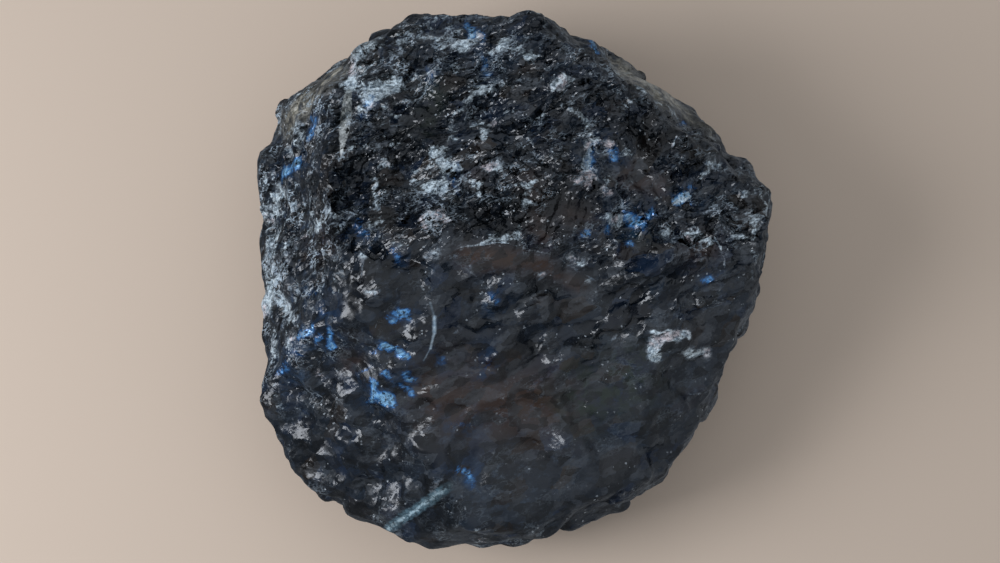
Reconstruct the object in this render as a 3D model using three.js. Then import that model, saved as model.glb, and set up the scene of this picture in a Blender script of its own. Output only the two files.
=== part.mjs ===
// A rough chunk of dark labradorite, one solid piece as it broke out of the rock.
// It lies on its flattest broken face. Its high back half has a hackly top, its front half slopes
// down to a lower rim, and a spur stands out at its right side.
// Units are millimetres, +Z is up, +X is to the right and +Y is towards the back.
// The origin is on the table, under the middle of the stone's box.

import * as THREE from 'three';
import { ImprovedNoise } from 'three/addons/math/ImprovedNoise.js';
import { mergeVertices } from 'three/addons/utils/BufferGeometryUtils.js';

const { degToRad, seededRandom, clamp } = THREE.MathUtils;

// Driving sizes
const BASE_DEPTH = 22; // from the stone's middle down to the face it rests on
const STONE_DETAIL = 21; // splits of each edge of the icosahedron that the surface starts from
const DRUM_RADIUS = 46; // of a drum about as big as the stone, which spreads the surface points

const GRAIN_SPACING = 8.5; // between the feldspar grains that give the surface its flat facets
const GRAIN_JITTER = 0.42; // how far a grain's middle may lie off its grid, in spacings
const GRAIN_TILT = 0.26; // steepest slope of a grain's facet against the face it lies in
const GRAIN_STEP = 0.4; // how far a grain stands out or in at most
const GRAIN_REACH = 1.2; // the most that a grain moves the surface
const BORDER_WANDER = 1.6; // how far the borders between grains stray
const BORDER_LENGTH = 9; // over what length they stray

const HACKLE_HEIGHT = 0.18; // small roughness of the broken feldspar
const HACKLE_LENGTH = 4.3;
const SWELL_HEIGHT = 0.8; // slow waves that keep the broken faces from being dead flat
const SWELL_LENGTH = 21;

// A broken face is a plane. It faces a bearing, in degrees anticlockwise from +X seen from above,
// and leans up by a rise. It passes the point that lies out along the bearing and up from the
// stone's middle.
function face(bearing, rise, out, up) {
  const flat = Math.cos(degToRad(rise));
  const steep = Math.sin(degToRad(rise));
  const outward = new THREE.Vector3(
    flat * Math.cos(degToRad(bearing)),
    flat * Math.sin(degToRad(bearing)),
    steep,
  );
  return { outward, reach: out * flat + up * steep };
}

// A break takes away everything beyond its faces. One face makes a flat break.
// Two or three take away only what lies beyond them all, which leaves a step with an inner corner.
const FRONT_SLOPE = face(287, 66, 0, 22.6);
const FRONT_PLATE = face(298, 68, 0, 20.6);
const MIDDLE_RISER = face(262, 20, -3.5, 24);

const TOP_BREAKS = [
  [face(110, 82, 0, 24.6)], // the hackly top of the back half
  [face(20, 74, 0, 26.6)], // the top's right side, which slopes away to the spur
  [MIDDLE_RISER, face(123, 32, -24.5, 8), FRONT_SLOPE], // the front slope, down to the plate's step
  [MIDDLE_RISER, FRONT_SLOPE, FRONT_PLATE], // the flat plate that stands over the slope at the rim
  [face(318, 50, 42.4, 1)], // the dark slope at the front right
  [face(228, 46, 46, 2)], // the front left shoulder
];

const FLANK_BREAKS = [
  [face(180, 33, 46.2, 0)], // the bright left flank
  [face(187, 22, 31.5, 20), face(135, 50, 40.2, 24)], // the ledge at the back left, under a riser
  [face(165, 14, 50.8, 0)],
  [face(127, 20, 52, 0)],
  [face(107, 9, 51.2, 0)],
  [face(90, 10, 46.6, 0)],
  [face(74, 10, 45.2, 0)],
  [face(50, 24, 42.6, 0)], // the smooth facets at the back right
  [face(9, 8, 38.6, 0), face(70, 15, 32.6, 0)], // the notch behind the spur
  [face(348, 6, 41.2, 0)], // the spur's end
  [face(337, 5, 38.6, 0)],
  [face(328, 6, 40.6, 0)],
  [face(296, 14, 42.4, 0)],
  [face(277, 8, 45.6, 0)],
  [face(260, 8, 51.5, 0)],
  [face(229, 10, 50.8, 0)],
  [face(187, 10, 48, 0)],
];

const UNDER_BREAKS = [
  [face(0, -90, 0, -22.5)], // the face it lies on, with shallow pits
  [face(182, -24, 46.5, 0)],
  [face(140, -32, 53, 0)],
  [face(96, -14, 50, 0)],
  [face(50, -36, 46, 0)],
  [face(10, -18, 45.4, 0)],
  [face(325, -34, 44, 0)],
  [face(288, -12, 45.4, 0)],
  [face(250, -30, 53, 0)],
  [face(215, -16, 53, 0)],
];

const BREAKS = [...TOP_BREAKS, ...FLANK_BREAKS, ...UNDER_BREAKS];

// Shell-shaped fractures. Each is a ball that took a shallow bite. Its middle lies along a bearing
// and rise at a distance from the stone's middle.
function scoop(bearing, rise, distance, radius) {
  const centre = face(bearing, rise, 0, 0).outward.multiplyScalar(distance);
  return { centre, radius };
}

const SCOOPS = [
  scoop(300, 62, 62, 43), // the brown hollow low on the front slope
  scoop(20, 60, 66, 40.6),
  scoop(212, 12, 92, 42.5),
  scoop(100, -20, 88, 42),
  scoop(318, -8, 84, 42.5),
  scoop(10, -35, 78, 39),
];

const noise = new ImprovedNoise();

// Three noise values at a point, one along each axis.
function wander(point, length) {
  const { x, y, z } = point.clone().divideScalar(length);
  return new THREE.Vector3(
    noise.noise(x, y, z),
    noise.noise(x + 31.4, y + 7.7, z + 3.1),
    noise.noise(x + 5.9, y + 47.3, z + 19.8),
  );
}

// Feldspar grains lie in a jittered grid through the stone. Each broke on a facet of its own.
const grains = new Map();

function grainAt(i, j, k) {
  const cell = i + 64 * (j + 64 * k);
  if (!grains.has(cell)) {
    seededRandom(cell);
    const signed = () => 2 * seededRandom() - 1;
    const vector = () => new THREE.Vector3(signed(), signed(), signed());
    const centre = new THREE.Vector3(i, j, k).addScaledVector(vector(), GRAIN_JITTER);
    grains.set(cell, {
      centre: centre.multiplyScalar(GRAIN_SPACING),
      tilt: vector().multiplyScalar(GRAIN_TILT),
      step: GRAIN_STEP * signed(),
    });
  }
  return grains.get(cell);
}

function nearestGrain(point) {
  const [i, j, k] = point.toArray().map((along) => Math.round(along / GRAIN_SPACING));
  let nearest = null;
  for (const di of [-1, 0, 1]) {
    for (const dj of [-1, 0, 1]) {
      for (const dk of [-1, 0, 1]) {
        const grain = grainAt(i + di, j + dj, k + dk);
        const distance = grain.centre.distanceTo(point);
        if (!nearest || distance < nearest.distance) nearest = { grain, distance };
      }
    }
  }
  return nearest.grain;
}

// How far the ray from the middle towards a direction gets before a break or a scoop stops it,
// and which one stops it, when all of them are moved outward by an extra.
function brokenSurface(direction, extra) {
  let distance = Infinity;
  let stopper = null;
  const stopAt = (candidate, by) => {
    if (candidate < distance) {
      distance = candidate;
      stopper = by;
    }
  };
  for (const faces of BREAKS) {
    let entry = 0;
    let by = null;
    for (const each of faces) {
      const facing = each.outward.dot(direction);
      const crossing = facing > 0 ? (each.reach + extra) / facing : Infinity;
      if (crossing > entry) {
        entry = crossing;
        by = each;
      }
    }
    stopAt(entry, by);
  }
  for (const ball of SCOOPS) {
    const along = ball.centre.dot(direction);
    const radius = ball.radius - extra;
    const inside = along * along - ball.centre.lengthSq() + radius * radius;
    if (along > 0 && inside > 0) stopAt(along - Math.sqrt(inside), ball);
  }
  return { distance, stopper };
}

// The surface towards a direction: how far it lies from the middle, and the face and grain there.
function surface(direction) {
  const smooth = direction.clone().multiplyScalar(brokenSurface(direction, 0).distance);
  const looked = smooth.clone().addScaledVector(wander(smooth, BORDER_LENGTH), BORDER_WANDER);
  const grain = nearestGrain(looked);
  const facet = grain.tilt.dot(looked.sub(grain.centre)) + grain.step;
  const swell = SWELL_HEIGHT * wander(smooth, SWELL_LENGTH).x;
  const hackle = HACKLE_HEIGHT * wander(smooth, HACKLE_LENGTH).y;
  const extra = clamp(facet, -GRAIN_REACH, GRAIN_REACH) + swell + hackle;
  const { distance, stopper } = brokenSurface(direction, extra);
  const toBase = direction.z < 0 ? BASE_DEPTH / -direction.z : Infinity;
  if (toBase < distance) return { distance: toBase, stopper: 'base', grain: 'base' };
  return { distance, stopper, grain };
}

// Directions from the middle, with their triangles. They start even over a ball. The ball's polar
// caps go to the flat ends of a drum and the rest of it to the drum's side, each part by its share
// of the area, so that the triangles come out about as even over the stone.
function makeDirections() {
  const ball = new THREE.IcosahedronGeometry(1, STONE_DETAIL);
  ball.deleteAttribute('normal');
  ball.deleteAttribute('uv');
  const geometry = mergeVertices(ball, 1e-5);
  const position = geometry.getAttribute('position');
  const endShare = DRUM_RADIUS / (DRUM_RADIUS + 2 * BASE_DEPTH);
  const directions = [];
  for (let i = 0; i < position.count; i++) {
    const share = 1 - Math.abs(position.getZ(i));
    const out = DRUM_RADIUS * Math.sqrt(Math.min(1, share / endShare));
    const up = BASE_DEPTH * Math.min(1, (1 - share) / (1 - endShare));
    const onDrum = new THREE.Vector3(position.getX(i), position.getY(i), 0).setLength(out);
    onDrum.z = Math.sign(position.getZ(i)) * up;
    directions.push(onDrum.normalize());
  }
  return { geometry, directions };
}

const BISECTIONS = 10;
const LONGEST_SLIDE = 0.48; // of the way to the next surface point
const THINNEST_TRIANGLE = 0.2; // of its size before the slide

// Moves each surface point that lies near an edge between two faces or grains onto that edge,
// so that the edges come out straight and not as a row of teeth. Where the edge is a step, the
// point goes to the step's top.
function slideOntoEdges(directions, index) {
  const there = directions.map(surface);
  const same = (p, q) => p.stopper === q.stopper && p.grain === q.grain;
  const moves = new Map();
  for (let corner = 0; corner < index.count; corner++) {
    const next = corner % 3 === 2 ? corner - 2 : corner + 1;
    const from = index.getX(corner);
    const to = index.getX(next);
    if (same(there[from], there[to])) continue;
    const between = (share) => directions[from].clone().lerp(directions[to], share).normalize();
    let low = 0;
    let high = 1;
    for (let step = 0; step < BISECTIONS; step++) {
      const middle = (low + high) / 2;
      if (same(surface(between(middle)), there[from])) low = middle;
      else high = middle;
    }
    const shorter = !moves.has(from) || moves.get(from).share > low;
    if (low < LONGEST_SLIDE && shorter) {
      const sides = [between(low), between(high)];
      const [near, far] = sides.map((side) => surface(side).distance);
      moves.set(from, { share: low, target: near >= far ? sides[0] : sides[1] });
    }
  }
  undoBadSlides(directions, index, moves);
  for (const [i, move] of moves) directions[i].copy(move.target);
}

// Takes back the slides that would fold a triangle over or leave it too thin.
function undoBadSlides(directions, index, moves) {
  const size = (a, b, c) => a.clone().cross(b).dot(c);
  const moved = (i) => (moves.has(i) ? moves.get(i).target : directions[i]);
  let undone = true;
  while (undone) {
    undone = false;
    for (let t = 0; t < index.count; t += 3) {
      const corners = [index.getX(t), index.getX(t + 1), index.getX(t + 2)];
      const before = size(...corners.map((i) => directions[i]));
      const after = size(...corners.map(moved));
      if (after > THINNEST_TRIANGLE * before) continue;
      for (const i of corners) {
        if (moves.delete(i)) undone = true;
      }
    }
  }
}

function makeStoneGeometry() {
  const { geometry, directions } = makeDirections();
  slideOntoEdges(directions, geometry.index);
  const position = geometry.getAttribute('position');
  directions.forEach((direction, i) => {
    const { distance } = surface(direction);
    position.setXYZ(i, ...direction.clone().multiplyScalar(distance));
  });
  geometry.computeBoundingBox();
  const { min, max } = geometry.boundingBox;
  geometry.translate(-(min.x + max.x) / 2, -(min.y + max.y) / 2, -min.z);
  geometry.computeVertexNormals();
  return geometry;
}

const labradorite = new THREE.MeshStandardMaterial({ color: 0x2a2c32, roughness: 0.4, metalness: 0 });

const stone = new THREE.Mesh(makeStoneGeometry(), labradorite);
stone.name = 'labradorite_chunk';

const part = new THREE.Group();
part.add(stone);

export default part;
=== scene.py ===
# %% [markdown]
# # A rough chunk of labradorite
#
# Labradorite is a dark feldspar. It breaks along flat cleavage planes, so a rough chunk is a heap
# of small ledges and facets that glint one by one, and some of its grains flash blue. This lesson
# starts from the solid that gives the stone its real size and its main broken faces, and adds
# what the eye sees from near: fine facets, frosted fractures, and the colours inside the grains.

# %% Load the solid
import math

import bpy
import numpy as np
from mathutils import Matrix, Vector, kdtree, noise


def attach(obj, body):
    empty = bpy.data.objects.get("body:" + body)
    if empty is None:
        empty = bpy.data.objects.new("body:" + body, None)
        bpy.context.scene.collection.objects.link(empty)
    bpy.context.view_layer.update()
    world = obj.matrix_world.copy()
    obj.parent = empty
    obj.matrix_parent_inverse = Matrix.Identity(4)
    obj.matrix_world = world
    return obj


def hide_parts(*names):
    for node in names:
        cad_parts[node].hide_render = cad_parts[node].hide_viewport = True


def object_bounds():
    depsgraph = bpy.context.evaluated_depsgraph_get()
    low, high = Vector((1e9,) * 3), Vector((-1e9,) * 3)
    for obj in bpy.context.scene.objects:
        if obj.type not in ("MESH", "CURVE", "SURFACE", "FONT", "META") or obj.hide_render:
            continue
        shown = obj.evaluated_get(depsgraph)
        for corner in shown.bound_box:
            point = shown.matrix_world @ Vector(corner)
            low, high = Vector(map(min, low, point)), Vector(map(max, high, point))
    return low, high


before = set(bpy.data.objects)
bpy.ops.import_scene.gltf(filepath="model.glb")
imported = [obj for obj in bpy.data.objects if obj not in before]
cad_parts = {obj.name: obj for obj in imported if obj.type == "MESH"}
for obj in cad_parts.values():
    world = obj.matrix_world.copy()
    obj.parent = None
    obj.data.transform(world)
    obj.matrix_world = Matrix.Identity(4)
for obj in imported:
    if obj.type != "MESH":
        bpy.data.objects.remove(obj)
solid_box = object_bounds()
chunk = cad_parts["labradorite_chunk"]
print("solid stone, metres:", [tuple(round(c, 4) for c in corner) for corner in solid_box])

# %% [markdown]
# ## The surface to carve
#
# The solid has facets of about 2.5 mm, which are good for its weight and outline but too coarse
# to look at. A subdivision surface would round the stone like a pebble. So each triangle is
# simply split in four, twice, with a little smoothing between, which takes off the machine-sharp
# look of the facets and keeps every broken face where it is. All of it is done on plain number
# arrays in millimetres, because that is the scale at which one thinks about a stone.

# %% Read the solid as arrays
MM = 0.001


def read_triangles(mesh):
    """Points in mm, with doubles joined, and triangles as rows of three point numbers."""
    mesh.calc_loop_triangles()
    flat_points = np.empty(3 * len(mesh.vertices))
    mesh.vertices.foreach_get("co", flat_points)
    corners = np.empty(3 * len(mesh.loop_triangles), dtype=int)
    mesh.loop_triangles.foreach_get("vertices", corners)
    points = (flat_points.reshape(-1, 3) / MM).round(3)
    joined, place = np.unique(points, axis=0, return_inverse=True)
    return joined, place.reshape(-1)[corners].reshape(-1, 3)


points, triangles = read_triangles(chunk.data)
print("solid:", len(points), "points,", len(triangles), "triangles")

# %% Split and smooth


def edges_of(triangles):
    """Each edge once, and which edge lies on each side of each triangle."""
    sides = np.sort(triangles[:, [0, 1, 1, 2, 2, 0]].reshape(-1, 2), axis=1)
    edges, place = np.unique(sides, axis=0, return_inverse=True)
    return edges, place.reshape(-1, 3)


def split_in_four(points, triangles):
    edges, place = edges_of(triangles)
    middles = points[edges].mean(axis=1)
    a, b, c = triangles.T
    ab, bc, ca = place.T + len(points)
    quarters = [(a, ab, ca), (ab, b, bc), (ca, bc, c), (ab, bc, ca)]
    return np.vstack([points, middles]), np.vstack([np.stack(q, axis=1) for q in quarters])


def neighbour_means(values, edges):
    """For each point, the mean of what its neighbours hold."""
    total = np.zeros_like(values)
    count = np.zeros(len(values))
    for one, other in (edges.T, edges.T[::-1]):
        np.add.at(total, one, values[other])
        np.add.at(count, one, 1)
    return total / (count if values.ndim == 1 else count[:, None])


ROUNDING = 0.24  # how far each point goes to the middle of its neighbours, each time

for splitting in range(2):
    points, triangles = split_in_four(points, triangles)
    edges, _ = edges_of(triangles)
    for rounding in range(2):
        points += ROUNDING * (neighbour_means(points, edges) - points)
edge_length = np.linalg.norm(points[edges[:, 0]] - points[edges[:, 1]], axis=1)
print("split:", len(points), "points, mean edge", round(edge_length.mean(), 2), "mm")

# %% [markdown]
# ## Where the stone is calm, frosted or coloured
#
# The real chunk isn't the same all over. Its back half is hackly, its front slope is smoother,
# and some cleavage faces are nearly flat. Frost is the pale powder of crushed feldspar that a
# blow leaves, mostly on ledges and rims. The blue flash is light thrown back by thin layers
# inside a grain, so it comes in patches that end where the grain ends. Each place is named here
# as a short stroke on the stone, in millimetres as seen from above, and everything later reads
# those strokes. Most streaks of this stone run the same way, which is its lay.

# %% Strokes on the stone
LAY_BEARING = 25  # degrees from +X, the way most streaks run


def strokes(places, marks):
    """How strongly each place is covered. A mark is (x0, y0, x1, y1, half width, strength)."""
    cover = np.zeros(len(places))
    for x0, y0, x1, y1, half_width, strength in marks:
        start = np.array([x0, y0])
        along = np.array([x1, y1]) - start
        length_squared = max(along @ along, 1e-9)
        share = np.clip((places[:, :2] - start) @ along / length_squared, 0, 1)
        gap = np.linalg.norm(places[:, :2] - start - share[:, None] * along, axis=1)
        cover = np.maximum(cover, strength * np.exp(-((gap / half_width) ** 2)))
    return cover


CALM_FACES = [
    (-29, -10, -25, -12.5, 4.2, 1.0),  # dark blue facet on the left
    (-8, -1.2, 5, -1.8, 2.0, 1.0),  # smooth face under the middle riser
    (5, -1.8, 12, -5, 1.8, 0.9),
    (20, 13.5, 25, 12.5, 2.4, 0.9),
    (-17, -45, 0, -43, 3.4, 0.9),  # plate at the front rim
    (20, 36, 29, 31, 3.0, 1.0),  # smooth flank facets at the back right
    (-39, 28, -32, 33, 3.0, 0.8),  # ledge at the back left
    (0, -26, 4, -22, 5.0, 0.8),  # brown hollow
    (-13.5, 29, -15.5, 22, 2.0, 0.8),
    (3, 11, 4, 3, 2.0, 0.6),
    (9, 8, 12, 5, 2.6, 0.7),
]
FROSTED = [
    # back left
    (-29, 30.5, -25, 29.5, 1.3, 1.2),
    (-25, 28, -19.5, 31, 1.7, 1.4),
    (-22, 26, -20.5, 25, 1.3, 0.9),
    (-29, 35, -24, 39, 2.6, 0.75),
    (-28, 33, -25, 33, 2.2, 0.8),
    (-28.6, 34.4, -28.3, 29.4, 1.1, 1.3),
    (-20, 38.5, -14, 39.5, 0.8, 0.9),
    (-28, 38, -22, 42, 1.4, 0.6),
    (-14, 46, -11, 46, 1.2, 1.0),
    (-9, 37.4, -6.4, 39.4, 1.3, 1.3),
    (-2.4, 37, -1.2, 38.2, 0.9, 1.1),
    (-10.3, 33.2, -10.2, 32.8, 0.8, 1.2),
    (-5, 33, -4.6, 31.4, 0.9, 0.9),
    (-6.6, 29, -4.4, 29.6, 0.9, 0.9),
    (-7, 28, -9.4, 25, 0.8, 0.8),
    (-11, 24, -10.4, 19.6, 0.9, 0.8),
    (-7.6, 22.4, -6, 23.4, 0.7, 1.0),
    (-5.2, 20.4, -4, 23.4, 0.9, 1.1),
    (-2, 24.4, 0, 25.4, 0.8, 0.9),
    (-13, 17, -11, 14.4, 1.8, 1.4),
    (-14.6, 11.6, -12.4, 10.6, 1.5, 1.6),
    (-17, 14.4, -15, 15.6, 1.5, 0.8),
    (-23, 15.4, -21.4, 16, 1.0, 1.0),
    (-24.4, 13, -23.4, 8, 0.9, 1.0),
    (-21.4, 20, -20, 19, 1.0, 0.6),
    (-15, 6, -12.6, 6.4, 0.9, 0.6),
    (-4.6, 14.4, -2.6, 14.2, 0.9, 1.1),
    (-5.2, 9.4, -4.6, 9.6, 0.8, 0.8),
    (-20, 1, -18, 1.4, 1.2, 0.8),
    (-4.4, 1.4, 0.6, 2.4, 0.8, 1.2),
    (0.6, 2.4, 1, 4, 0.8, 0.9),
    # left flank
    (-38, 26, -37.8, 22, 0.8, 0.9),
    (-40.4, 25.4, -38.4, 25, 1.2, 1.0),
    (-39, 22.4, -40, 20, 1.0, 0.9),
    (-42.4, 15, -43.4, 11, 1.6, 1.2),
    (-43.4, 11, -43, -1, 1.5, 0.9),
    (-36.6, 5, -34.4, 5.8, 0.8, 0.9),
    (-35.4, 7, -34, 10, 0.9, 0.7),
    (-40.6, 10, -40.4, 1, 0.9, 0.6),
    (-44, -3, -44, -6, 1.4, 1.4),
    (-42, -4, -38.4, -9, 1.2, 1.1),
    (-42.4, -10, -42.4, -14, 1.2, 0.8),
    (-39, -12, -37, -14, 1.8, 0.64),
    (-38.4, -6, -36.4, -5, 0.8, 0.56),
    (-42.4, -20, -39.4, -27, 1.1, 0.7),
    (-34.4, -19, -33, -19.6, 1.4, 0.56),
    (-30.6, -23.4, -30.2, -23.6, 0.8, 0.88),
    (-34, -31.8, -32, -31.4, 0.8, 0.72),
    (-30, -0.6, -29.6, -4, 0.9, 0.7),
    (-31, -6.4, -29.8, -6.4, 0.8, 0.96),
    (-26, -1.4, -25.4, -1.6, 0.9, 1.0),
    # front slope
    (-24.8, -7.4, -23.2, -7.2, 0.9, 1.12),
    (-21.4, -6, -19, -6.4, 1.3, 0.56),
    (-15, -1.2, -12.6, -1, 0.8, 0.9),
    (-11.4, -1.6, -9.6, -1, 0.8, 0.9),
    (-15.2, -9, -14.6, -9.4, 0.7, 0.8),
    (-12, -12, -9, -16, 2, 0.32),
    (-10.6, -13, -10.2, -13, 0.9, 0.56),
    (-19, -32.8, -17, -33.2, 1.1, 0.56),
    (-14.4, -38.2, -12.8, -37.8, 1.1, 0.88),
    (-6.4, -47, -6, -46.8, 1.0, 1.3),
    (4, -3.4, 5.4, -3.2, 0.7, 1.1),
    (12, -4.4, 13.2, -4, 0.8, 1.0),
    (9, -0.4, 11.6, -1, 0.9, 1.1),
    (26, -1.8, 27.4, -1.6, 0.7, 0.8),
    (24, -16, 24.6, -13.6, 1.8, 1.5),  # three pale patches on the right of the front slope
    (26.4, -13, 29.6, -12.6, 1.2, 1.4),
    (30, -15.4, 34, -15, 1.4, 1.2),
    (17, -13, 17.6, -13, 1.1, 1.0),
    # back right
    (2, 36, 4, 35, 0.9, 0.7),
    (2.4, 44, 6, 44.4, 1.1, 0.8),
    (7.4, 29.4, 9, 30.8, 1.2, 1.3),
    (4, 23.6, 5, 23.8, 0.8, 1.0),
    (10.4, 24.2, 12, 23.4, 0.8, 1.0),
    (8, 26, 10, 27, 0.9, 0.6),
    (12.6, 14.6, 12.8, 18.6, 1.2, 1.3),
    (13, 19.4, 16.4, 19.6, 0.9, 1.0),
    (11.4, 12, 13.4, 13, 1.4, 1.0),
    (15.4, 9.4, 16.2, 13, 0.8, 0.9),
    (18.4, 18, 20, 18.4, 1.0, 0.9),
    (2.2, 11.4, 3.2, 12, 0.9, 1.1),
    (1.8, 8, 3, 8.2, 0.9, 1.1),
    (16, 6.2, 18, 6, 1.2, 1.4),
    (24, 10, 24.8, 10.4, 0.9, 0.8),
    (28.2, 10.2, 30.2, 10.8, 0.9, 1.2),
    (32.4, 14.4, 33.6, 15.6, 0.8, 1.1),
    (33, 17.6, 36, 17, 1.0, 0.8),
    (39.8, 11.8, 40.6, 12, 0.9, 1.0),
    (42.4, 13.4, 44.4, 9, 1.0, 0.9),
    (38.4, 4.2, 40, 4.2, 1.1, 1.0),
    (42, 7, 41.4, -2, 0.9, 0.7),
    (33, 3.4, 34, 3.4, 0.8, 1.0),
    (25.4, 4.2, 26.6, 4.2, 0.9, 0.8),
    (22.2, 30.6, 22.6, 30.2, 0.8, 1.0),
    (24.4, 29.6, 29, 28.6, 1.0, 0.7),
    (31, 22.4, 34, 23.4, 1.2, 0.7),
]
THIN_EDGES = [
    (-9, 0.2, -2, 1.4, 0.35, 0.75),  # the rim over the middle riser
    (-2, 1.4, 7.6, -0.6, 0.3, 0.65),
    (7.6, -0.6, 14, -4, 0.25, 0.6),
    (-9.6, -2, -5.2, -5.2, 0.3, 0.6),
    (-25.3, 0.4, -26, -5.6, 0.4, 0.9),
    (-22.9, -11, -24.6, -16, 0.25, 0.7),
    (27.2, 19, 28.4, 22, 0.4, 1.0),
    (34.6, 4, 36.3, 0, 0.35, 0.9),
    (36.3, 0.4, 36.5, -3, 0.35, 0.8),
]
BLADE = (-28.5, 30.5, -29.8, 15)  # thin pale sliver of crystal over the back left ledge
# curved edge, and the pale step along the back edge of the plate at the front rim
CRESCENT = [(-14.2, -8.8), (-13.5, -11.2), (-13.5, -13.6), (-14.2, -16), (-15.4, -18)]
PLATE_STEP = (-22.8, -45, -9.4, -37.6)
BLUE_FLASHES = [
    (-21.4, -11.3, -18, -11.1, 0.9, 1.3),
    (-20, -10.5, -18.6, -10.3, 0.9, 1.2),
    (-22.6, -15.4, -18.2, -17.2, 0.8, 1.3),
    (-24.2, -16.6, -23.8, -16.4, 0.8, 1.0),
    (-24, -21.4, -24.4, -24, 0.9, 1.4),
    (-24, -23, -21, -24.4, 1.0, 1.4),
    (-21.8, -20.2, -20.8, -20.8, 0.9, 1.0),
    (-18.2, -20.4, -17.4, -20.8, 0.9, 1.2),
    (-19.6, -22.2, -17.8, -23, 0.7, 1.1),
    (-36.6, -12.8, -34.6, -12, 0.9, 1.3),
    (-34, -13.8, -33, -13.8, 0.7, 1.1),
    (-31.3, -13, -31.2, -15.2, 0.8, 1.2),
    (-41, -18, -39.4, -17.2, 1.0, 1.0),
    (-36, -5.4, -34.4, -6, 1.0, 0.6),
    (-13, -18.4, -11.8, -17.8, 0.8, 0.9),
    (-3.8, -7.4, -3, -8.8, 1.0, 0.8),
    (-5, -19, -4, -17.4, 1.1, 0.6),
    (-9.8, -35.8, -8, -36.2, 1.0, 1.2),
    (-8.4, -37.8, -6.8, -37.4, 0.8, 1.0),
    (-10, -28, -7.6, -28, 0.9, 0.6),
    (-41, 17.4, -38.4, 18.6, 1.3, 1.3),
    (-35, 26, -34, 24, 0.8, 1.0),
    (-34, 24, -35, 22, 0.8, 1.0),
    (-25.4, 26, -24.8, 27.2, 0.9, 1.3),
    (-26.2, 24.2, -26, 24.2, 0.7, 1.0),
    (-8, 42, -7.2, 40, 1.1, 1.3),
    (-5.6, 40, -5.2, 38.8, 0.8, 1.2),
    (-5.4, 34.6, -4.6, 33, 0.9, 1.2),
    (-15, 33, -14.6, 32, 0.8, 0.8),
    (-20.8, -0.4, -20, -1.6, 0.9, 0.9),
    (-27, 5, -25, 2, 1.1, 0.7),
    (-9.6, 16, -9.4, 14, 0.8, 0.8),
    (13.8, 40.8, 14.2, 39.2, 1.0, 1.3),
    (19.8, 6.6, 21.6, 5.6, 1.4, 1.3),
    (15.6, 3.8, 16.4, 4.8, 0.9, 1.1),
    (11.8, 3, 12.2, 3.4, 0.8, 1.0),
    (19.2, 1.9, 20, 1.8, 0.7, 1.2),
    (23.6, 8, 23, 7, 0.9, 1.2),
    (17, 19, 17.6, 18.4, 0.8, 0.9),
    (13.4, 18.6, 13.2, 15.2, 1.0, 1.2),
    (16.4, 18.4, 17, 16.8, 1.0, 1.1),
    (-10.2, 12.4, -9.8, 9.8, 0.7, 0.8),
    (-33, -9, -31.6, -10, 0.7, 0.7),
    (-38, -15, -37, -15.4, 0.7, 0.9),
    (-26, -19.6, -24.8, -19.4, 0.7, 0.8),
    (28.4, 10.4, 30.2, 10.9, 0.9, 1.5),
    (30.2, 12.4, 30.8, 12.8, 0.8, 0.9),
    (33, -3.2, 34, -3, 1.0, 1.1),
    (30.2, 27, 30.8, 27.2, 0.8, 1.0),
]
BROWN_GRAINS = [
    (-8, -1.2, 5, -1.8, 1.9, 1.2),  # the smooth face under the middle riser
    (5, -1.8, 12, -5, 1.6, 1.0),
    (-12, -24, 5, -24, 6.0, 1.0),
    (3, 12, 5, 3, 2.2, 1.0),
    (9, 7, 12, 5, 2.6, 0.8),
    (-33.6, 3, -32.4, 2, 2.2, 0.9),
    (31, 1, 33, 2, 3.0, 0.8),
    (-9, 13, -7, 13, 1.8, 0.8),
    (20, 13.5, 25, 12.5, 2.4, 0.8),
    (-29, -17.5, -27, -18, 1.6, 0.8),
]
# Places painted darker: painted shade in deep hollows, where little light reaches.
PAINTED_SHADE_PLACES = [
    (-7, 7, 8, 9, 5.0, 1.0),
    (-1, 15, 6, 17, 4.0, 0.8),
    (20, 22, 30, 19, 4.0, 0.7),
    (-15, 23, -12, 29, 3.5, 0.7),
    (-33, 13, -25, 12, 3.0, 0.8),
    (-23, 6.4, -10, 5.6, 3.2, 0.9),
]
# Two high faces painted pale tan: partly dust, partly a painted reflection of the warm floor.
DUST_AND_SHEEN_FACES = [
    (-40, 28, -32, 34, 2.6, 1.0),
    (20, 38, 28, 32.5, 3.2, 1.1),
    (30, 31, 36, 26, 1.6, 0.6),
]
GREEN_GRAINS = [
    (12, -23, 20, -20, 6.0, 1.0),
    (-13.5, 29, -15.5, 22, 2.2, 1.0),
    (19, 4, 22, 3, 1.6, 0.9),
]

# %% [markdown]
# Hackly is the word for a fracture full of sharp little teeth. One number for each point says how
# hackly it is: little on the calm cleavage faces, and less and less towards the front right.

# %% How hackly each place is
smooth_points = points.copy()
calm = strokes(smooth_points, CALM_FACES)
front_share = np.clip((1 - smooth_points[:, 1]) / 24, 0, 1)
right_share = np.clip((smooth_points[:, 0] + 22) / 14, 0, 1)
hackly = (1 - 0.9 * calm) * (1 - front_share * (0.4 + 0.3 * right_share))
print("mean hackliness:", round(hackly.mean(), 2))

# %% [markdown]
# ## Facets
#
# A grain of feldspar breaks on its own cleavage plane, so its face is flat and tilted a little
# away from its neighbours'. A bump map can't do this at the scale of a ledge, because ledges
# shade each other and show on the outline. So the points themselves move. Space is filled with
# scattered seeds, each point asks for its nearest seed, and that seed's own tilted plane says how
# far the point moves along its normal. Coarse grains come first, then finer ones. Blender's noise
# vectors start from the clock unless they get a seed, so they get one here, and the stone comes
# out the same each time.

# %% Grains that move the points
noise.seed_set(7)


def normals_of(points, triangles):
    a, b, c = (points[triangles[:, i]] for i in range(3))
    faces = np.cross(b - a, c - a)
    normals = np.zeros_like(points)
    for i in range(3):
        np.add.at(normals, triangles[:, i], faces)
    return normals / np.linalg.norm(normals, axis=1, keepdims=True)


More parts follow.
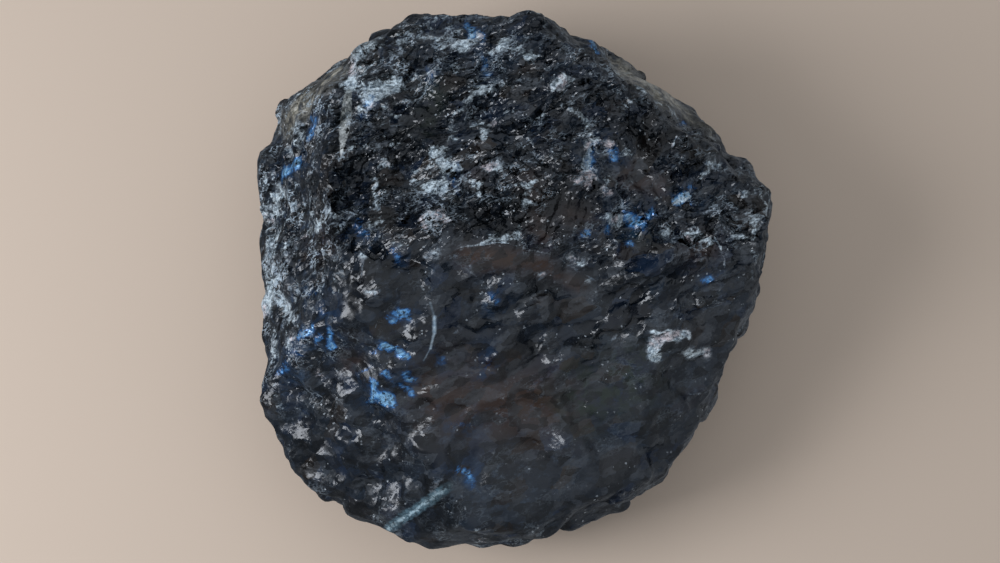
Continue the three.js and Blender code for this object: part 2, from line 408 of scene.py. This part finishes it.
def wandered(places, length, reach):
    """The places pushed about by smooth noise, so that borders between grains aren't straight."""
    pushes = [noise.noise_vector(Vector(place / length)) for place in places]
    return places + reach * np.array(pushes)


def drawn_out(places, bearing, ratio):
    """The places squeezed along a bearing, so that grains made there come out long."""
    turn = math.radians(bearing)
    along = places[:, 0] * math.cos(turn) + places[:, 1] * math.sin(turn)
    across = places[:, 1] * math.cos(turn) - places[:, 0] * math.sin(turn)
    return np.stack([along / ratio, across, places[:, 2]], axis=1)


MOST_RELIEF = 0.22  # the most that a grain's plane rises, as a share of the grain's size


def grain_relief(places, spacing, tilt, step, seed):
    """How far each place stands out, from the tilted plane of the grain that it lies in."""
    rng = np.random.default_rng(seed)
    low = places.min(axis=0) - spacing
    counts = np.ceil((places.max(axis=0) + spacing - low) / spacing).astype(int) + 1
    grid = np.stack(np.meshgrid(*map(np.arange, counts), indexing="ij"), axis=-1).reshape(-1, 3)
    seeds = low + spacing * (grid + rng.uniform(-0.45, 0.45, grid.shape))
    tilts = tilt * rng.uniform(-1, 1, grid.shape)
    steps = step * rng.uniform(-1, 1, len(seeds))
    tree = kdtree.KDTree(len(seeds))
    for number, place in enumerate(seeds):
        tree.insert(place, number)
    tree.balance()
    nearest = np.array([tree.find(place)[1] for place in places])
    slopes = ((places - seeds[nearest]) * tilts[nearest]).sum(axis=1)
    most = MOST_RELIEF * spacing
    return np.clip(slopes, -most, most) + steps[nearest]


left_flank = np.clip((-28 - points[:, 0]) / 8, 0, 1) * np.clip((points[:, 1] + 26) / 8, 0, 1)
facing_up = np.abs(normals_of(points, triangles)[:, 2])
flank = np.clip((0.7 - facing_up) / 0.3, 0, 1)
hackly *= 1 - 0.35 * np.clip(1.2 - facing_up, 0, 1)
hackly = np.maximum(hackly, 0.6 * flank * (1 - calm))
for spacing, tilt, step, seed in ((4.8, 0.52, 0.3, 3), (2.2, 0.34, 0.09, 8)):
    moved = wandered(points, 1.2 * spacing, 0.25 * spacing)
    along_lay = grain_relief(drawn_out(moved, LAY_BEARING, 1.8), spacing, tilt, step, seed)
    front_to_back = grain_relief(drawn_out(moved, 90, 2.2), spacing, tilt, step, seed + 1)
    relief = hackly * (along_lay + left_flank * (front_to_back - along_lay))
    points += relief[:, None] * normals_of(points, triangles)
    most = round(np.abs(relief).max(), 2)
    print("grains of", spacing, "mm move the surface by up to", most, "mm")

# %% [markdown]
# A cleavage face that broke in one piece has no teeth at all. So the calm places are smoothed
# again, each point going part of the way to the middle of its neighbours.

# %% Soften the calm places
SOFTENINGS = 4
SOFTENING = 0.6  # share of the way, where the stone is quite calm

for softening in range(SOFTENINGS):
    softer = neighbour_means(points, edges) - points
    points += (SOFTENING * (1 - hackly))[:, None] * softer
print("softened", SOFTENINGS, "times where calm")

# %% [markdown]
# ## Cleavage ledges
#
# Where many thin layers broke one after another, the face is a flight of small ledges, like the
# edge of a stack of paper. A saw-tooth wave across the layers gives that. On the left flank the
# layers run level, so seen from above their edges are long bright streaks.

# %% Ledges on the flanks
LAYER = 1.9  # mm from one ledge to the next, a little coarser than the thinnest real ones
LEDGE = 0.1  # mm, how far a ledge stands out
DRIFT_SIZE = 6  # mm, over which the layers rise and fall

normals = normals_of(points, triangles)
leaning = 1 - np.abs(normals[:, 2])
drift = np.array([noise.noise(Vector(place / DRIFT_SIZE)) for place in points])
layer_number = (points[:, 2] - 0.25 * points[:, 0] + 3.4 * drift) / LAYER
ledges = LEDGE * (layer_number - np.floor(layer_number) - 0.5)
ledge_share = np.clip((leaning - 0.25) / 0.3, 0, 1) * (1 - calm)
points += (ledge_share * ledges)[:, None] * normals
print("share of the stone with ledges:", round((ledge_share > 0.5).mean(), 2))

# %% [markdown]
# The stone lies on one broken face. The relief must not push through it, or the stone would rock,
# so whatever lay on the ground before the carving is put back there.

# %% The face it lies on stays flat
rests = smooth_points[:, 2] < 0.05  # mm
points[:, 2] = np.maximum(points[:, 2], 0)
points[rests, 2] = 0
solid_low, solid_high = (np.array(corner) / MM for corner in solid_box)
print("grown past the solid's box, mm:", (points.max(axis=0) - solid_high).round(2))

# %% [markdown]
# ## From arrays to a Blender object
#
# The finished arrays become a mesh. What each place is like goes with it as named attributes, one
# number for each point, which the material reads. Rims and ridges get extra frost, because thin
# edges are the first to be crushed: a point that stands out from its neighbours is on a ridge.

# %% Make the stone
SHARP_ANGLE = math.radians(26)  # an edge that turns more than this is drawn sharp

height = smooth_points[:, 2]
top_side = np.clip((height - 8) / 6, 0, 1)
normals = normals_of(points, triangles)
standing_out = ((points - neighbour_means(points, edges)) * normals).sum(axis=1)
ridge = np.clip(neighbour_means(standing_out, edges) / 0.1, 0, 1)
ragged = wandered(smooth_points, 1.8, 0.8)
# A mark is seen from above. On a steep face it would run down as a stripe, so there it fades.
# Only the left flank keeps its marks, because it is frosted from its top to its foot.
marked = top_side * np.maximum(left_flank, np.clip(facing_up / 0.35, 0, 1))

looks = {
    "frost": strokes(ragged, FROSTED) * marked + 0.25 * ridge * (1 - 0.6 * front_share),
    "flash": strokes(ragged, BLUE_FLASHES) * marked,
    "glow": strokes(ragged, [(*mark[:4], 2.6 * mark[4], 0.8) for mark in BLUE_FLASHES])
    * top_side,
    "brown": strokes(smooth_points, BROWN_GRAINS) * top_side,
    "green": strokes(smooth_points, GREEN_GRAINS) * top_side,
    "painted_deep_shade": strokes(ragged, PAINTED_SHADE_PLACES) * top_side,
    "marked": marked,
    "dust_and_sheen": strokes(ragged, DUST_AND_SHEEN_FACES)
    * np.clip((height - 15) / 10, 0, 1)
    * np.clip(facing_up / 0.5, 0.3, 1),
    "calm": 1 - hackly,
    "back": np.maximum(
        np.clip((smooth_points[:, 1] + 2) / 6, 0, 1), np.maximum(0.7 * (1 - top_side), 0.5 * flank)
    ),
    "left": left_flank,
    "painted_hollow_shade": hackly * np.clip((-10 - smooth_points[:, 0]) / 10, 0.25, 1),
    "steep": np.clip(1.3 - 1.4 * facing_up, 0, 1),
}

stone_mesh = bpy.data.meshes.new("labradorite_stone")
stone_mesh.from_pydata((points * MM).tolist(), [], triangles.tolist())
for name, values in looks.items():
    layer = stone_mesh.attributes.new(name, "FLOAT", "POINT")
    layer.data.foreach_set("value", values.astype(np.float32))
stone_mesh.shade_smooth()
stone_mesh.set_sharp_from_angle(angle=SHARP_ANGLE)
stone = bpy.data.objects.new("labradorite_stone", stone_mesh)
bpy.context.scene.collection.objects.link(stone)
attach(stone, "root")
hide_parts("labradorite_chunk")
print("stone:", len(stone_mesh.polygons), "triangles")

# %% [markdown]
# ## Colours
#
# Colours are given the way a picker shows them, as sRGB hex. Blender calculates in linear light,
# so one function turns them over.

# %% Hex to linear


def linear(hex_colour):
    channels = [int(hex_colour[i : i + 2], 16) / 255 for i in (1, 3, 5)]
    return [c / 12.92 if c <= 0.04045 else ((c + 0.055) / 1.055) ** 2.4 for c in channels] + [1.0]


def add_node(tree, kind, inputs=None, **settings):
    """Adds a node. inputs gives each socket, by name or number, a value or the socket to link."""
    node = tree.nodes.new(kind)
    for name, value in settings.items():
        setattr(node, name, value)
    for key, value in (inputs or {}).items():
        if isinstance(value, bpy.types.NodeSocket):
            tree.links.new(value, node.inputs[key])
        else:
            node.inputs[key].default_value = value
    return node


def new_material(name):
    material = bpy.data.materials.new(name)
    material.use_nodes = True
    material.node_tree.nodes.clear()
    return material, material.node_tree


print("middle grey in linear light:", round(linear("#808080")[0], 3))

# %% [markdown]
# ## Labradorite, freshly broken
#
# Feldspar is a glassy stone with an index of refraction of about 1.56, so a clean cleavage face
# mirrors the lamp softly and a crushed one scatters it. The eye reads three things: near-black
# depth, where light goes in and doesn't come back, pale frost on crushed edges, and the blue of
# the layered grains. One material holds them all and mixes them with the stone's named attributes
# and noise at real sizes. Facets too small for the mesh, down to a third of a millimetre, are made
# by giving every cell of a Voronoi pattern its own small tilt of the normal, which glints like
# broken crystal.

# %% Patterns of the stone
labradorite, tree = new_material("labradorite_broken")
here = add_node(tree, "ShaderNodeTexCoord").outputs["Object"]
in_mm = add_node(
    tree, "ShaderNodeVectorMath", {0: here, "Scale": 1 / MM}, operation="SCALE"
).outputs["Vector"]


def attribute(name):
    return add_node(tree, "ShaderNodeAttribute", attribute_name=name).outputs["Fac"]


def cloud(size, detail=4.0, roughness=0.6, where=None):
    """Noise with blotches of about that size in mm."""
    place = where or in_mm
    inputs = {"Vector": place, "Scale": 1 / size, "Detail": detail, "Roughness": roughness}
    return add_node(tree, "ShaderNodeTexNoise", inputs)


def ramp(value, low, high):
    """0 below low and 1 above high, with a soft slope between."""
    inputs = {"Value": value, "From Min": low, "From Max": high}
    node = add_node(tree, "ShaderNodeMapRange", inputs, interpolation_type="SMOOTHSTEP")
    return node.outputs["Result"]


def combine(operation, *values):
    node = add_node(tree, "ShaderNodeMath", dict(enumerate(values)), operation=operation)
    return node.outputs[0]


def combine_vectors(operation, inputs):
    node = add_node(tree, "ShaderNodeVectorMath", inputs, operation=operation)
    return node.outputs["Vector"]


def blend(share, one, other):
    """A colour, from one at 0 to other at 1."""
    return add_node(
        tree, "ShaderNodeMix", {0: share, 6: one, 7: other}, data_type="RGBA"
    ).outputs[2]


LAY_RATIO = 1.7  # how much longer a streak is than it is wide

turned = add_node(
    tree,
    "ShaderNodeMapping",
    {"Vector": in_mm, "Rotation": (0, 0, math.radians(-LAY_BEARING))},
).outputs["Vector"]
lay = add_node(
    tree, "ShaderNodeMapping", {"Vector": turned, "Scale": (1 / LAY_RATIO, 1, 1)}
).outputs["Vector"]
drifting = combine_vectors(
    "MULTIPLY_ADD", {0: cloud(3.0, 3.0).outputs["Color"], 1: (1.8, 1.8, 1.8), 2: lay}
)
cells = {
    size: add_node(
        tree, "ShaderNodeTexVoronoi", {"Vector": drifting, "Scale": 1 / size}
    ).outputs["Color"]
    for size in (7.0, 3.2, 1.7, 0.9, 0.32)
}
print("patterns:", len(tree.nodes), "nodes")

# %% [markdown]
# Inside one crystal of feldspar all the ledges run the same way, and in the next crystal they run
# another way. So each 7 mm cell gets a bearing of its own, and a saw-tooth wave along that
# bearing makes the treads and risers. The risers that face the lamp show as bright parallel
# lines.

# %% Treads and risers in each crystal
PITCH = 1.3  # mm from one riser to the next
RISER_SHARE = 0.3

bearing = combine_vectors("NORMALIZE", {
    0: combine_vectors("SUBTRACT", {0: cells[7.0], 1: (0.5, 0.5, 0.5)})
})
way_along = add_node(
    tree, "ShaderNodeVectorMath", {0: drifting, 1: bearing}, operation="DOT_PRODUCT"
).outputs["Value"]
wave = combine("FRACT", combine("DIVIDE", way_along, PITCH))
riser = ramp(wave, 1 - RISER_SHARE, 1 - 0.7 * RISER_SHARE)
step_tilt = combine("MULTIPLY_ADD", riser, 0.75, -0.15)
print("risers every", PITCH, "mm")

# %% [markdown]
# By itself the feldspar is nearly black, with a cold cast. Each 3 mm grain gets its own dark
# shade, and a few are blue or brown. Over that lie a thin bluish haze, where light is caught just
# under the surface, pale tan on two high faces, partly dust and partly a painted reflection of the
# warm floor, painted highlights on facets as if turned to the lamp, painted shade on facets turned
# away from it, and painted shade in hollows, from which hardly any light comes back.

# %% Colour of the grains
grain_shade = add_node(tree, "ShaderNodeSeparateColor", {"Color": cells[3.2]})
grain_red, grain_green, grain_blue = (grain_shade.outputs[i] for i in range(3))
colour = blend(grain_red, linear("#0D1219"), linear("#1E2732"))
colour = blend(ramp(grain_green, 0.72, 0.9), colour, linear("#132032"))
colour = blend(ramp(grain_blue, 0.8, 0.95), colour, linear("#1C1613"))
brown_share = combine("MULTIPLY", attribute("brown"), 0.85)
colour = blend(brown_share, colour, linear("#38281F"))
green_share = combine("MULTIPLY", attribute("green"), ramp(cloud(2.4).outputs["Fac"], 0.4, 0.6))
colour = blend(green_share, colour, linear("#1C261F"))
depth = combine("MULTIPLY", attribute("glow"), ramp(cloud(2.6, 4.0).outputs["Fac"], 0.4, 0.62))
colour = blend(depth, colour, linear("#1B3550"))
broad = ramp(cloud(9.0, 3.0, 0.6, lay).outputs["Fac"], 0.4, 0.6)
haze = combine("MULTIPLY", ramp(cloud(1.4, 6.0, 0.75, lay).outputs["Fac"], 0.5, 0.72), 0.4)
haze = combine("MULTIPLY", haze, combine("MAXIMUM", broad, attribute("left")))
colour = blend(haze, colour, linear("#4C5B6C"))
bluish = combine("MULTIPLY", attribute("left"), ramp(cloud(2.2, 5.0).outputs["Fac"], 0.5, 0.66))
colour = blend(combine("MULTIPLY", bluish, 0.5), colour, linear("#3C5068"))
# Pale tan on two high faces: partly dust, partly a painted reflection of the warm floor.
dust_and_sheen_share = combine("MULTIPLY", attribute("dust_and_sheen"), ramp(cloud(2.0, 5.0).outputs["Fac"], 0.3, 0.55))
dust_and_sheen_shade = ramp(cloud(0.9, 5.0, 0.7, lay).outputs["Fac"], 0.35, 0.65)
dust_and_sheen_colour = blend(dust_and_sheen_shade, linear("#767161"), linear("#C6C2B4"))
colour = blend(dust_and_sheen_share, colour, dust_and_sheen_colour)

# Painted light and shade on facets: some 1.7 mm facets are painted pale, a painted highlight as if
# turned to the lamp, and others nearly black, painted shade as if turned away.
facet_shade = add_node(tree, "ShaderNodeSeparateColor", {"Color": cells[1.7]})
in_light = combine("MULTIPLY_ADD", attribute("calm"), -0.5, 0.66)
painted_lit_facets = combine("MULTIPLY", ramp(facet_shade.outputs[0], 0.5, 0.95), in_light)
painted_lit_facets = combine("MULTIPLY", painted_lit_facets, ramp(cloud(0.8, 5.0, 0.7, lay).outputs["Fac"], 0.3, 0.55))
painted_lit_facets = combine("MULTIPLY", painted_lit_facets, combine("SUBTRACT", 1.0, attribute("painted_deep_shade")))
painted_shade_facets = combine("MULTIPLY", ramp(facet_shade.outputs[1], 0.6, 0.65), 0.6)
colour = blend(painted_shade_facets, colour, linear("#06080A"))
colour = blend(painted_lit_facets, colour, linear("#50555B"))
# Painted shade in hollows: torn places on the left and the deep places are painted nearly black.
painted_shade_in_hollows = ramp(cloud(1.5, 6.0, 0.7, lay).outputs["Fac"], 0.58, 0.44)
painted_shade_in_hollows = combine("MULTIPLY", painted_shade_in_hollows, combine("MULTIPLY", attribute("painted_hollow_shade"), 0.85))
painted_shade_in_hollows = combine("MAXIMUM", painted_shade_in_hollows, combine("MULTIPLY", attribute("painted_deep_shade"), 0.75))
colour = blend(painted_shade_in_hollows, colour, linear("#050709"))

# %% [markdown]
# A few edges are long, thin and pale: a sliver of crystal at the back left, a curved edge, and
# the step behind the plate at the front rim. Each is drawn from its two ends, by the distance
# from the line between them. Noise is added to that distance, because a clean line looks like
# chalk.

# %% Thin crushed edges
seen_from_above = combine_vectors("MULTIPLY", {0: in_mm, 1: (1, 1, 0)})
wobble = cloud(1.2, 4.0, 0.7).outputs["Fac"]


def beside_edge(x0, y0, x1, y1):
    """How far along the edge each place lies, 0 to 1, and its distance from it in mm."""
    along = Vector((x1 - x0, y1 - y0, 0))
    from_start = combine_vectors("SUBTRACT", {0: seen_from_above, 1: (x0, y0, 0)})
    reach = add_node(
        tree,
        "ShaderNodeVectorMath",
        {0: from_start, 1: along / along.length_squared},
        operation="DOT_PRODUCT",
    ).outputs["Value"]
    share = add_node(tree, "ShaderNodeClamp", {"Value": reach}).outputs["Result"]
    foot = combine_vectors("SCALE", {0: tuple(along), "Scale": share})
    gap = add_node(tree, "ShaderNodeVectorMath", {0: from_start, 1: foot}, operation="DISTANCE")
    return share, gap.outputs["Value"]


crushed_edge = None
for x0, y0, x1, y1, half_width, strength in THIN_EDGES:
    share, gap = beside_edge(x0, y0, x1, y1)
    gap = combine("MULTIPLY_ADD", wobble, 1.2 * half_width, gap)
    gap = combine("MULTIPLY_ADD", combine("PINGPONG", share, 0.5), -half_width, gap)
    edge = combine("MULTIPLY", ramp(gap, 1.4 * half_width, 0.3 * half_width), strength)
    crushed_edge = edge if crushed_edge is None else combine("MAXIMUM", crushed_edge, edge)

crushed_grit = ramp(cloud(0.8, 5.0, 0.7).outputs["Fac"], 0.35, 0.65)
share, gap = beside_edge(*BLADE)
blade_edge = combine("MULTIPLY", ramp(share, 1.05, 0.3), combine("MULTIPLY_ADD", share, 1.6, 0.6))
gap = combine("MULTIPLY_ADD", wobble, 0.5, combine("SUBTRACT", gap, blade_edge))
blade = ramp(gap, 0.2, -0.05)
blade_colour = blend(crushed_grit, linear("#3F4446"), linear("#9DA2A0"))
blade_colour = blend(ramp(share, 0.4, 0.9), blade_colour, linear("#C4C8C8"))
colour = blend(blade, colour, blade_colour)

RIM_WIDTHS = (0.5, 0.65, 0.5, 0.35)  # mm, from the top of the curved edge down
RIM_STRENGTHS = (0.2, 0.85, 0.65, 0.35)
pieces = zip(CRESCENT, CRESCENT[1:], RIM_WIDTHS, RIM_STRENGTHS)
for start, end, rim_width, rim_strength in pieces:
    share, gap = beside_edge(*start, *end)
    gap = combine("MULTIPLY_ADD", wobble, 0.3, gap)
    rim = combine("MULTIPLY", ramp(gap, rim_width, 0.1), rim_strength)
    colour = blend(rim, colour, blend(crushed_grit, linear("#8199AC"), linear("#C0D2DE")))

share, gap = beside_edge(*PLATE_STEP)
gap = combine("MULTIPLY_ADD", wobble, 1.2, gap)
step_face = combine("MULTIPLY", ramp(gap, 1.7, 1.2), ramp(share, 1.0, 0.7))
step_face = combine("MULTIPLY", step_face, attribute("marked"))
step_colour = blend(crushed_grit, linear("#22323C"), linear("#587380"))
glinting = ramp(cloud(0.7, 5.0, 0.7, lay).outputs["Fac"], 0.4, 0.58)
step_glint = combine("MULTIPLY", ramp(gap, 1.1, 0.75), glinting)
step_colour = blend(step_glint, step_colour, linear("#A2BBC6"))
colour = blend(combine("MULTIPLY", step_face, 0.9), colour, step_colour)
print("edges:", len(THIN_EDGES) + len(CRESCENT) + 1)

# %% [markdown]
# The blue is brightest in the middle of a grain and breaks up into slivers, so a level falls from
# the middle outwards, noise roughens it, and two ramps turn it into three blues. Frost works the
# same way. Close up, frost is a felt of pale hairs: the place where smooth noise passes through
# its middle value is just such a curling line, so that value is drawn thinly.

# %% Blue flash and frost


def curling_lines(size, half_width):
    """1 on thin lines that are about that size in mm from one another."""
    smooth_noise = cloud(size, 3.0, 0.6, lay).outputs["Fac"]
    from_middle = combine("ABSOLUTE", combine("SUBTRACT", smooth_noise, 0.5))
    return ramp(from_middle, half_width, 0.2 * half_width)


lit_facet = add_node(tree, "ShaderNodeSeparateColor", {"Color": cells[0.9]}).outputs[0]
flash_grit = combine("MULTIPLY_ADD", lit_facet, 0.35, cloud(0.9, 6.0, 0.75, lay).outputs["Fac"])
flash_level = combine("ADD", attribute("flash"), flash_grit)
small_facet = add_node(tree, "ShaderNodeSeparateColor", {"Color": cells[0.32]}).outputs[1]
flash_slivers = ramp(cloud(0.55, 5.0, 0.8, lay).outputs["Fac"], 0.42, 0.58)
flash = combine("MULTIPLY", ramp(flash_level, 1.05, 1.5), ramp(small_facet, -0.1, 0.6))
flash = combine("MULTIPLY", flash, combine("MULTIPLY_ADD", flash_slivers, 0.6, 0.4))
flash_colour = blend(ramp(flash_level, 1.3, 1.75), linear("#1B406B"), linear("#4C8CCB"))
flash_colour = blend(ramp(flash_level, 1.65, 2.0), flash_colour, linear("#90C8F2"))
colour = blend(flash, colour, flash_colour)

clusters = ramp(cloud(5.5, 3.0).outputs["Fac"], 0.5, 0.64)
crushed = combine("MULTIPLY_ADD", attribute("back"), 0.17, 0.03)
crushed = combine("MULTIPLY_ADD", attribute("left"), 0.05, crushed)
crushed = combine("MULTIPLY", combine("MULTIPLY", clusters, crushed), broad)
frost_places = combine("MULTIPLY_ADD", combine("MINIMUM", attribute("frost"), 1.25), 0.26, crushed)
crushed_edge = combine("MULTIPLY", crushed_edge, attribute("marked"))
frost_places = combine("MULTIPLY_ADD", crushed_edge, 0.3, frost_places)
frost_level = combine("ADD", frost_places, cloud(1.0, 8.0, 0.78, lay).outputs["Fac"])
frost = ramp(frost_level, 0.67, 0.82)
frost_tint = ramp(cloud(7.0).outputs["Fac"], 0.56, 0.66)
frost_colour = blend(frost_tint, linear("#E0F0F8"), linear("#EADCDE"))
in_strong_frost = ramp(attribute("frost"), 0.75, 1.35)
bare = combine("MAXIMUM", attribute("back"), attribute("left"))
bare = combine("MAXIMUM", bare, in_strong_frost)
bare = ramp(bare, 0.0, 0.7)
frost_colour = blend(bare, linear("#7C838B"), frost_colour)
hairs = curling_lines(1.1, 0.045)
crumbs = ramp(cloud(0.35, 4.0, 0.7).outputs["Fac"], 0.3, 0.58)
powder = combine("MULTIPLY", frost, combine("MAXIMUM", hairs, combine("MULTIPLY", crumbs, 0.8)))
powder = combine("MULTIPLY", powder, combine("MULTIPLY_ADD", bare, 0.4, 0.6))
frost_depth = ramp(cloud(0.8, 6.0, 0.8, lay).outputs["Fac"], 0.37, 0.55)
frost_colour = blend(frost_depth, linear("#64788A"), frost_colour)
colour = blend(powder, colour, frost_colour)

# %% [markdown]
# Hair-thin cracks and splinters show as pale lines that curl over the faces, so they are drawn
# with the same lines. The points of light are painted glints: grains of a third of a millimetre
# painted pale, as if they caught the lamp.

# %% Splinters and points of light
torn = ramp(cloud(4.0, 3.0).outputs["Fac"], 0.46, 0.6)
splintery = combine("MULTIPLY", attribute("back"), 0.55)
splintery = combine("MULTIPLY_ADD", attribute("left"), 0.75, splintery)
splintery = combine("MULTIPLY", combine("ADD", splintery, 0.08), combine("MULTIPLY", torn, broad))
lines = combine("MAXIMUM", curling_lines(2.6, 0.02), curling_lines(1.3, 0.025))
splinters = combine("MULTIPLY", lines, splintery)
colour = blend(splinters, colour, linear("#A9B8C4"))

POINT_SIZE = 0.3  # mm
point_cells = add_node(tree, "ShaderNodeTexVoronoi", {"Vector": in_mm, "Scale": 1 / POINT_SIZE})
point_shade = add_node(tree, "ShaderNodeSeparateColor", {"Color": point_cells.outputs["Color"]})
rare = ramp(point_shade.outputs[0], 0.982, 0.99)
painted_glints = combine("MULTIPLY", rare, point_shade.outputs[1])
sprinkled = combine("MULTIPLY", combine("MULTIPLY_ADD", attribute("calm"), -0.9, 1.0), torn)
painted_glint_share = combine("MULTIPLY", painted_glints, sprinkled)
colour = blend(painted_glint_share, colour, linear("#D8E2EA"))
print("colour:", len(tree.nodes), "nodes")

# %% [markdown]
# A facet that is too small for the mesh still throws its own glint. The surface normal is leaned
# by a little vector that is the same all over one cell, at three sizes. Its square is used for
# how far it leans, so that most facets lean a little and a few lean a lot.

# %% Facets too small for the mesh
liveliness = combine("MULTIPLY_ADD", attribute("calm"), -0.9, 1.0)
liveliness = combine("MULTIPLY_ADD", attribute("back"), 0.35, liveliness)
torn_most = combine("MAXIMUM", attribute("back"), attribute("left"))
glitter = combine("MULTIPLY_ADD", torn_most, 0.55, 0.45)
normal = add_node(tree, "ShaderNodeNewGeometry").outputs["Normal"]
for size, tilt, where in ((3.2, 0.5, 1.0), (0.9, 0.5, glitter), (0.32, 0.5, glitter)):
    centred = combine_vectors("SUBTRACT", {0: cells[size], 1: (0.5, 0.5, 0.5)})
    how_loose = combine_vectors("MULTIPLY", {0: centred, 1: centred})
    loose = add_node(
        tree, "ShaderNodeVectorMath", {0: how_loose, 1: (4, 4, 4)}, operation="DOT_PRODUCT"
    ).outputs["Value"]
    lively = combine("MULTIPLY", liveliness, where)
    lean = combine("MULTIPLY", combine("MULTIPLY", loose, tilt), lively)
    tilted = combine_vectors("SCALE", {0: centred, "Scale": lean})
    normal = combine_vectors("ADD", {0: normal, 1: tilted})
step_tilt = combine("MULTIPLY", step_tilt, combine("MULTIPLY_ADD", torn_most, 0.6, 0.4))
step_tilt = combine("MULTIPLY", step_tilt, liveliness)
stepped = combine_vectors("SCALE", {0: bearing, "Scale": step_tilt})
normal = combine_vectors("NORMALIZE", {0: combine_vectors("ADD", {0: normal, 1: stepped})})
print("facets:", len(tree.nodes), "nodes")

# %% [markdown]
# Clean cleavage is glassy and crushed feldspar is matt, so frost makes the surface rougher. The
# blue comes from layers inside the grain and takes the colour of the light with it, as a metal
# does, so a flash is a quarter metallic.

# %% Gloss
glassy = ramp(cloud(1.8, 3.0).outputs["Fac"], 0.35, 0.65)
clean_roughness = combine("MULTIPLY_ADD", glassy, 0.15, 0.14)
clean_roughness = combine("MULTIPLY_ADD", attribute("steep"), 0.2, clean_roughness)
surface = add_node(
    tree,
    "ShaderNodeBsdfPrincipled",
    {
        "Base Color": colour,
        "Roughness": combine("MULTIPLY_ADD", frost, 0.3, clean_roughness),
        "Metallic": combine("MULTIPLY", flash, 0.25),
        "Normal": normal,
        "IOR": 1.56,
        "Specular IOR Level": 0.4,
    },
)
add_node(tree, "ShaderNodeOutputMaterial", {"Surface": surface.outputs["BSDF"]})
stone_mesh.materials.append(labradorite)
print("labradorite:", len(tree.nodes), "nodes")

# %% [markdown]
# ## A plain floor
#
# The stone lies on a plain pale floor. It is only a stage: it catches the soft shadow and throws
# warm light back up. It is kept out of the stone's mirror reflections, as a photographer does
# with a dark card, because a bright floor in them turns the steep flanks of a black glassy stone
# milky brown.

# %% Floor
FLOOR_SIZE = 3.0  # m
floor_mesh = bpy.data.meshes.new("floor")
half = FLOOR_SIZE / 2
floor_corners = [(-half, -half, 0), (half, -half, 0), (half, half, 0), (-half, half, 0)]
floor_mesh.from_pydata(floor_corners, [], [(0, 1, 2, 3)])
floor = bpy.data.objects.new("floor", floor_mesh)
bpy.context.scene.collection.objects.link(floor)
floor.visible_glossy = False
matt, tree = new_material("floor_matt_tan")
floor_surface = add_node(
    tree, "ShaderNodeBsdfPrincipled", {"Base Color": linear("#D3BFAC"), "Roughness": 0.8}
)
add_node(tree, "ShaderNodeOutputMaterial", {"Surface": floor_surface.outputs["BSDF"]})
floor_mesh.materials.append(matt)
print("floor:", FLOOR_SIZE, "m square")

# %% [markdown]
# ## One soft lamp
#
# The stone is lit by one large soft lamp on the left, a little to the front and fairly high, and
# by dim surroundings. A stone like this is nearly black by itself: what makes it readable are the
# reflections of that lamp, so its size and height matter more than its strength. The surroundings
# are darker on the lamp's side, so that the flanks there stay deep.

# %% Lamp and surroundings
LAMP_DISTANCE = 0.5  # m
LAMP_SIZE = (0.22, 0.28)  # m
LAMP_WATTS = 1.75
FROM_ABOVE, FROM_SIDES, LEAST = 0.42, 0.22, 0.14  # strengths of the surroundings
lamp_direction = Vector((-0.77, -0.16, 0.62)).normalized()
lamp_data = bpy.data.lights.new("soft_lamp", "AREA")
lamp_data.shape = "RECTANGLE"
lamp_data.size, lamp_data.size_y = LAMP_SIZE
lamp_data.energy = LAMP_WATTS
lamp_data.color = linear("#F2F7FF")[:3]
lamp = bpy.data.objects.new("soft_lamp", lamp_data)
lamp.location = lamp_direction * LAMP_DISTANCE
lamp.rotation_euler = lamp_direction.to_track_quat("Z", "Y").to_euler()
bpy.context.scene.collection.objects.link(lamp)

surroundings = bpy.data.worlds.new("surroundings")
surroundings.use_nodes = True
tree = surroundings.node_tree
looking = add_node(tree, "ShaderNodeTexCoord").outputs["Generated"]
directions = add_node(tree, "ShaderNodeSeparateXYZ", {"Vector": looking}).outputs
from_above = ramp(directions["Z"], 0.25, 1.0)
from_sides = combine("MULTIPLY_ADD", ramp(directions["X"], -0.7, 0.7), FROM_SIDES, LEAST)
backdrop = tree.nodes["Background"].inputs
backdrop["Color"].default_value = linear("#EAF1FA")
tree.links.new(combine("MULTIPLY_ADD", from_above, FROM_ABOVE, from_sides), backdrop["Strength"])
bpy.context.scene.world = surroundings
bpy.context.scene.view_settings.view_transform = "Standard"
print("lamp at", [round(c, 2) for c in lamp.location])

# %% [markdown]
# ## Camera
#
# The picture looks almost straight down, from a little to the front, with a longish lens.

# %% Camera
ELEVATION = math.radians(78)
CAMERA_DISTANCE = 0.425  # m
LENS = 85  # mm
aim = Vector((-2.4, 0, 20)) * MM
towards_camera = Vector((0, -math.cos(ELEVATION), math.sin(ELEVATION)))
camera_data = bpy.data.cameras.new("camera")
camera_data.lens = LENS
camera_data.clip_start = 0.01
camera = bpy.data.objects.new("camera", camera_data)
camera.location = aim + CAMERA_DISTANCE * towards_camera
camera.rotation_euler = towards_camera.to_track_quat("Z", "Y").to_euler()
bpy.context.scene.collection.objects.link(camera)
bpy.context.scene.camera = camera
print("camera:", round(CAMERA_DISTANCE / MM), "mm away")
